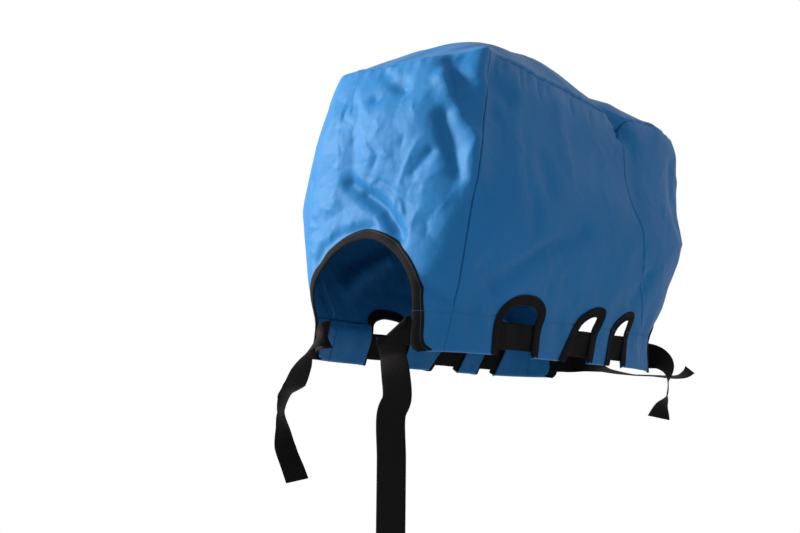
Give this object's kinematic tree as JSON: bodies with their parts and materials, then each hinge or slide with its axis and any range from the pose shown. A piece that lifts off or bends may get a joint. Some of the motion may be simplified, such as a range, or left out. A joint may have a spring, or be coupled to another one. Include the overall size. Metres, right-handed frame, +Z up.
{
  "type": "outboard motor cover",
  "caption": "Fitted cloth cover for an outboard motor's cowling, with arched openings fore and aft, bound notches in the hem and webbing belts whose ends hang free.",
  "frame": {"origin": "underside of the top panel at its crown, where the cowling carries the cover", "axes": "+Y forward to the boat along the cover's length, +X to starboard, +Z up"},
  "size_m": [0.36, 0.7091, 0.7398],
  "materials": {
    "cloth": "matt woven, light sheen",
    "tape": "matt woven",
    "webbing": "ribbed, low sheen"
  },
  "bodies": {
    "root": {"top_panel": "cloth", "aft_panel": "cloth", "fore_panel": "cloth", "starboard_panel": "cloth", "port_panel": "cloth", "aft_arch_binding": "tape", "fore_arch_binding": "tape", "starboard_notch_binding_1": "tape", "starboard_notch_binding_2": "tape", "starboard_notch_binding_3": "tape", "port_notch_binding_1": "tape", "port_notch_binding_2": "tape", "port_notch_binding_3": "tape", "starboard_belt": "webbing", "port_belt": "webbing"}
  },
  "joints": []
}
